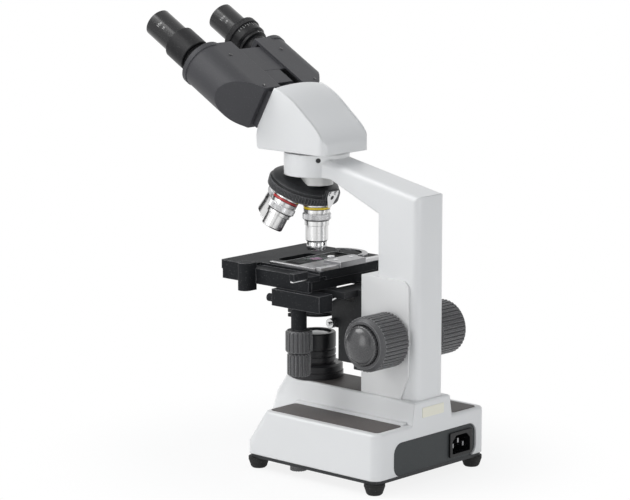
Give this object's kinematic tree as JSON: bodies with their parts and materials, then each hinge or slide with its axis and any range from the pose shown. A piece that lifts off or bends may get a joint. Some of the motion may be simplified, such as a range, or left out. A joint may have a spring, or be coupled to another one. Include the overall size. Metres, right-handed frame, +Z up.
{
  "type": "compound microscope",
  "caption": "Upright binocular light microscope: lamp base, arm with coaxial focus, moving stage, swing filter, iris condenser, turning nosepiece and turning inclined head.",
  "frame": {"origin": "on the optical axis at table level: x=0 is the plane of symmetry of the stand, y=0 the optical axis, z=0 the table under the feet", "axes": "+Z up along the optical axis, -Y towards the user who looks into the eyepieces, +Y towards the arm and the mains inlet, +X to the user's right"},
  "size_m": [0.1572, 0.3042, 0.3993],
  "materials": {
    "white_paint": "smooth satin enamel",
    "cover_white": "smooth satin enamel",
    "plate_dark": "fine texture",
    "foot_rubber": "matt",
    "thumb_black": "knurled",
    "pad_black": "fine grain",
    "panel_dark": "satin",
    "inlet_black": "semi-gloss",
    "pin_metal": "bright",
    "label_cream": "matt",
    "dial_black": "ribbed",
    "board_green": "circuit board",
    "lamp_black": "satin, grooved",
    "lens_clear": "clear",
    "lamp_body": "white",
    "screw_black": "blackened",
    "shaft_steel": "turned",
    "knob_black": "ribbed",
    "knob_gloss": "semi-gloss dome",
    "block_brass": "milled",
    "carrier_black": "satin",
    "stage_black": "fine satin",
    "rail_steel": "ground",
    "holder_chrome": "bright",
    "slide_glass": "clear",
    "condenser_black": "satin",
    "iris_chrome": "bright lever",
    "screw_chrome": "knurled",
    "ring_silver": "satin",
    "nose_black": "satin",
    "objective_chrome": "satin and bright bands",
    "binocular_grey": "fine satin",
    "tube_black": "satin",
    "eyepiece_black": "satin"
  },
  "bodies": {
    "stand": {"base_casting": "white_paint", "base_plate": "plate_dark", "feet": "foot_rubber", "base_pads": "pad_black", "rear_panel": "panel_dark", "mains_inlet": "inlet_black", "inlet_pins": "pin_metal", "label_plate": "label_cream", "power_board": "board_green", "illuminator_housing": "lamp_black", "field_lens": "lens_clear", "lamp_module": "lamp_body", "arm_casting": "white_paint", "arm_screws": "screw_black", "focus_covers": "cover_white", "nosepiece_ring": "ring_silver", "nosepiece_carrier": "nose_black", "turret_pivot": "screw_black", "click_spring": "screw_chrome"},
    "plate_screw": {"base_thumb_screw": "thumb_black"},
    "dial": {"brightness_dial": "dial_black"},
    "coarse_drive": {"coarse_shaft": "shaft_steel", "coarse_knobs": "knob_black"},
    "fine_drive": {"fine_shaft": "shaft_steel", "fine_knobs": "knob_gloss"},
    "focus_slide": {"focus_slide_block": "block_brass"},
    "stage_carrier": {"stage_carrier": "carrier_black", "stage_base_plate": "stage_black"},
    "stage_y": {"stage_top_plate": "stage_black", "stage_rail": "rail_steel", "drive_block": "stage_black"},
    "y_knob": {"y_drive_knob": "knob_black"},
    "x_knob": {"x_drive_knob": "knob_black"},
    "stage_x": {"slide_holder": "holder_chrome", "glass_slide": "slide_glass"},
    "finger": {"slide_finger": "holder_chrome"},
    "condenser": {"condenser_bracket": "carrier_black", "condenser_body": "condenser_black", "condenser_lens": "lens_clear"},
    "iris": {"iris_ring": "iris_chrome"},
    "filter": {"filter_holder": "condenser_black"},
    "condenser_clamp": {"condenser_clamp_screw": "screw_chrome"},
    "condenser_stop": {"condenser_stop_lever": "screw_chrome"},
    "turret": {"turret": "nose_black", "objective_10x": "objective_chrome", "objective_4x": "objective_chrome", "objective_40x": "objective_chrome", "objective_100x": "objective_chrome", "objective_lenses": "lens_clear"},
    "head": {"head_housing": "white_paint", "binocular_bridge": "binocular_grey"},
    "tube_right": {"prism_box_right": "binocular_grey", "eye_tube_right": "tube_black"},
    "tube_left": {"prism_box_left": "binocular_grey", "eye_tube_left": "tube_black"},
    "dioptre": {"dioptre_ring": "tube_black"},
    "eyepiece_right": {"eyepiece_right": "eyepiece_black", "eyepiece_lenses_right": "lens_clear"},
    "eyepiece_left": {"eyepiece_left": "eyepiece_black", "eyepiece_lenses_left": "lens_clear"}
  },
  "joints": [
    {"name": "plate_screw_turn", "type": "hinge", "parent": "stand", "child": "plate_screw", "pos_m": [0.06, 0.033, 0.007], "axis": [0, 0, 1], "continuous": true},
    {"name": "brightness_turn", "type": "hinge", "parent": "stand", "child": "dial", "pos_m": [-0.0745, 0.022, 0.034], "axis": [-1, 0, 0], "range_deg": [-150, 150]},
    {"name": "focus_coarse", "type": "slide", "parent": "stand", "child": "focus_slide", "axis": [0, 0, 1], "range_m": [-0.01, 0.0025]},
    {"name": "coarse_knob_turn", "type": "hinge", "parent": "stand", "child": "coarse_drive", "pos_m": [0, 0.106, 0.127], "axis": [1, 0, 0], "range_deg": [-30, 90]},
    {"name": "fine_knob_turn", "type": "hinge", "parent": "coarse_drive", "child": "fine_drive", "pos_m": [0, 0.106, 0.127], "axis": [1, 0, 0], "range_deg": [-900, 900]},
    {"name": "focus_fine", "type": "slide", "parent": "focus_slide", "child": "stage_carrier", "axis": [0, 0, 1], "range_m": [-0.0005, 0.0005]},
    {"name": "stage_y_slide", "type": "slide", "parent": "stage_carrier", "child": "stage_y", "axis": [0, 1, 0], "range_m": [-0.02, 0.02]},
    {"name": "y_knob_turn", "type": "hinge", "parent": "stage_y", "child": "y_knob", "pos_m": [0.054, 0.028, 0.12], "axis": [0, 0, 1], "range_deg": [-290, 290]},
    {"name": "stage_x_slide", "type": "slide", "parent": "stage_y", "child": "stage_x", "axis": [1, 0, 0], "range_m": [-0.03, 0.03]},
    {"name": "x_knob_turn", "type": "hinge", "parent": "stage_y", "child": "x_knob", "pos_m": [0.054, 0.028, 0.1], "axis": [0, 0, 1], "range_deg": [-435, 435]},
    {"name": "slide_finger_swing", "type": "hinge", "parent": "stage_x", "child": "finger", "pos_m": [-0.03, 0.027, 0.184], "axis": [0, 0, 1], "range_deg": [-30, 0], "stiffness_Nm_per_rad": 0.01, "springref_deg": 8.59},
    {"name": "condenser_height", "type": "slide", "parent": "stage_carrier", "child": "condenser", "axis": [0, 0, 1], "range_m": [-0.005, 0]},
    {"name": "iris_turn", "type": "hinge", "parent": "condenser", "child": "iris", "pos_m": [0, 0, 0.16], "axis": [0, 0, 1], "range_deg": [-35, 10]},
    {"name": "filter_swing", "type": "hinge", "parent": "condenser", "child": "filter", "pos_m": [0.024, -0.008, 0.133], "axis": [0, 0, 1], "range_deg": [0, 95]},
    {"name": "condenser_clamp_turn", "type": "hinge", "parent": "condenser", "child": "condenser_clamp", "pos_m": [0.016, 0.033, 0.13], "axis": [1, 0, 0], "range_deg": [-180, 180]},
    {"name": "condenser_stop_turn", "type": "hinge", "parent": "condenser", "child": "condenser_stop", "pos_m": [0.015, 0.027, 0.147], "axis": [1, 0, 0], "range_deg": [-45, 0]},
    {"name": "turret_turn", "type": "hinge", "parent": "stand", "child": "turret", "pos_m": [0, 0, 0.289], "axis": [0, -0.342, -0.9397], "continuous": true},
    {"name": "head_turn", "type": "hinge", "parent": "stand", "child": "head", "pos_m": [0, 0, 0.2814], "axis": [0, 0, 1], "continuous": true},
    {"name": "eye_spacing_right", "type": "slide", "parent": "head", "child": "tube_right", "axis": [1, 0, 0], "range_m": [-0.0134, 0]},
    {"name": "eye_spacing_left", "type": "slide", "parent": "head", "child": "tube_left", "axis": [1, 0, 0], "range_m": [0, 0.0134]},
    {"name": "dioptre_turn", "type": "hinge", "parent": "tube_left", "child": "dioptre", "pos_m": [-0.0409, -0.12926, 0.37012], "axis": [0, -0.866, 0.5], "range_deg": [-60, 60]},
    {"name": "eyepiece_right_lift", "type": "slide", "parent": "tube_right", "child": "eyepiece_right", "axis": [0, -0.866, 0.5], "range_m": [0, 0.03]},
    {"name": "eyepiece_left_lift", "type": "slide", "parent": "tube_left", "child": "eyepiece_left", "axis": [0, -0.866, 0.5], "range_m": [0, 0.03]}
  ],
  "couplings": [
    {"joint": "coarse_knob_turn", "follows": "focus_coarse", "rad_per_m": -142.86},
    {"joint": "fine_knob_turn", "follows": "focus_fine", "rad_per_m": 31415},
    {"joint": "y_knob_turn", "follows": "stage_y_slide", "rad_per_m": 250},
    {"joint": "x_knob_turn", "follows": "stage_x_slide", "rad_per_m": -250},
    {"joint": "eye_spacing_left", "follows": "eye_spacing_right", "ratio": -1}
  ]
}
